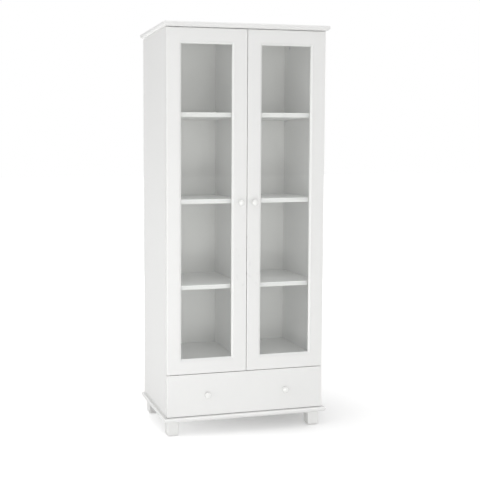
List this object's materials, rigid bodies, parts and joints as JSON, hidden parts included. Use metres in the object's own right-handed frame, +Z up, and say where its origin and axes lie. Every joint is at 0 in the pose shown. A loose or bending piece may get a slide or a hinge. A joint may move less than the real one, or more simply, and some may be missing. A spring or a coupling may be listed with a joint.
{
  "type": "display cabinet",
  "caption": "Tall free-standing display cabinet with glazed double doors over a full-width drawer, with shelves behind the doors, round knobs and block feet",
  "frame": {"origin": "on the floor, under the middle of the cabinet's outer box", "axes": "+X to the right seen from the front, +Y to the rear, +Z up"},
  "size_m": [0.8, 0.4736, 1.9],
  "materials": {
    "painted_board": "satin paint",
    "painted_foot": "satin paint",
    "painted_frame": "satin paint",
    "painted_knob": "gloss paint",
    "clear_glass": "clear polished",
    "painted_hardboard": "painted",
    "foil_board": "foil",
    "nickelled_steel": "nickel plated",
    "zinc_steel": "zinc plated",
    "coated_runner": "powder coated",
    "roller_nylon": "moulded",
    "beech_dowel": "bare",
    "soft_bumper": "clear soft",
    "glide_plastic": "moulded"
  },
  "bodies": {
    "carcass": {"top_panel": "painted_board", "base_panel": "painted_board", "left_side_panel": "painted_board", "right_side_panel": "painted_board", "centre_partition": "painted_board", "drawer_deck": "painted_board", "deck_rail": "painted_board", "back_panel": "painted_hardboard", "back_nails": "zinc_steel", "cam_locks": "zinc_steel", "cam_bolts": "zinc_steel", "wood_dowels": "beech_dowel", "carcass_screws": "zinc_steel", "shelf_pins": "zinc_steel", "left_lower_shelf": "painted_board", "left_middle_shelf": "painted_board", "left_upper_shelf": "painted_board", "right_lower_shelf": "painted_board", "right_middle_shelf": "painted_board", "right_upper_shelf": "painted_board", "front_left_foot": "painted_foot", "front_right_foot": "painted_foot", "rear_left_foot": "painted_foot", "rear_right_foot": "painted_foot", "foot_glides": "glide_plastic", "foot_screws": "zinc_steel", "hinge_plates": "nickelled_steel", "hinge_arms": "nickelled_steel", "left_cabinet_runner": "coated_runner", "right_cabinet_runner": "coated_runner"},
    "left_door": {"left_door_bottom_rail": "painted_frame", "left_door_bumpers": "soft_bumper", "left_door_glass": "clear_glass", "left_door_glass_beads": "painted_frame", "left_door_hinge_cups": "nickelled_steel", "left_door_hinge_stile": "painted_frame", "left_door_knob": "painted_knob", "left_door_meeting_stile": "painted_frame", "left_door_screws": "zinc_steel", "left_door_top_rail": "painted_frame"},
    "right_door": {"right_door_bottom_rail": "painted_frame", "right_door_bumpers": "soft_bumper", "right_door_glass": "clear_glass", "right_door_glass_beads": "painted_frame", "right_door_hinge_cups": "nickelled_steel", "right_door_hinge_stile": "painted_frame", "right_door_knob": "painted_knob", "right_door_meeting_stile": "painted_frame", "right_door_screws": "zinc_steel", "right_door_top_rail": "painted_frame"},
    "drawer": {"drawer_front": "painted_board", "drawer_left_side": "foil_board", "drawer_right_side": "foil_board", "drawer_back": "foil_board", "drawer_bottom": "painted_hardboard", "drawer_dowels": "beech_dowel", "drawer_screws": "zinc_steel", "drawer_knobs": "painted_knob", "drawer_runners": "coated_runner"},
    "cabinet_rollers": {"cabinet_rollers": "roller_nylon"},
    "drawer_rollers": {"drawer_rollers": "roller_nylon"}
  },
  "joints": [
    {"name": "left_door_swing", "type": "hinge", "parent": "carcass", "child": "left_door", "pos_m": [-0.378, -0.19575, 1.0855], "axis": [0, 0, -1], "range_deg": [0, 100]},
    {"name": "right_door_swing", "type": "hinge", "parent": "carcass", "child": "right_door", "pos_m": [0.378, -0.19575, 1.0855], "axis": [0, 0, 1], "range_deg": [0, 100]},
    {"name": "drawer_slide", "type": "slide", "parent": "carcass", "child": "drawer", "axis": [0, -1, 0], "range_m": [0, 0.26]},
    {"name": "cabinet_roller_spin", "type": "hinge", "parent": "carcass", "child": "cabinet_rollers", "pos_m": [0, -0.16725, 0.1278], "axis": [1, 0, 0], "range_deg": [0, 1660]},
    {"name": "drawer_roller_spin", "type": "hinge", "parent": "drawer", "child": "drawer_rollers", "pos_m": [0, 0.18975, 0.1254], "axis": [1, 0, 0], "range_deg": [0, 1660]}
  ],
  "couplings": [
    {"joint": "cabinet_roller_spin", "follows": "drawer_slide", "rad_per_m": 111.11},
    {"joint": "drawer_roller_spin", "follows": "drawer_slide", "rad_per_m": 111.11}
  ]
}
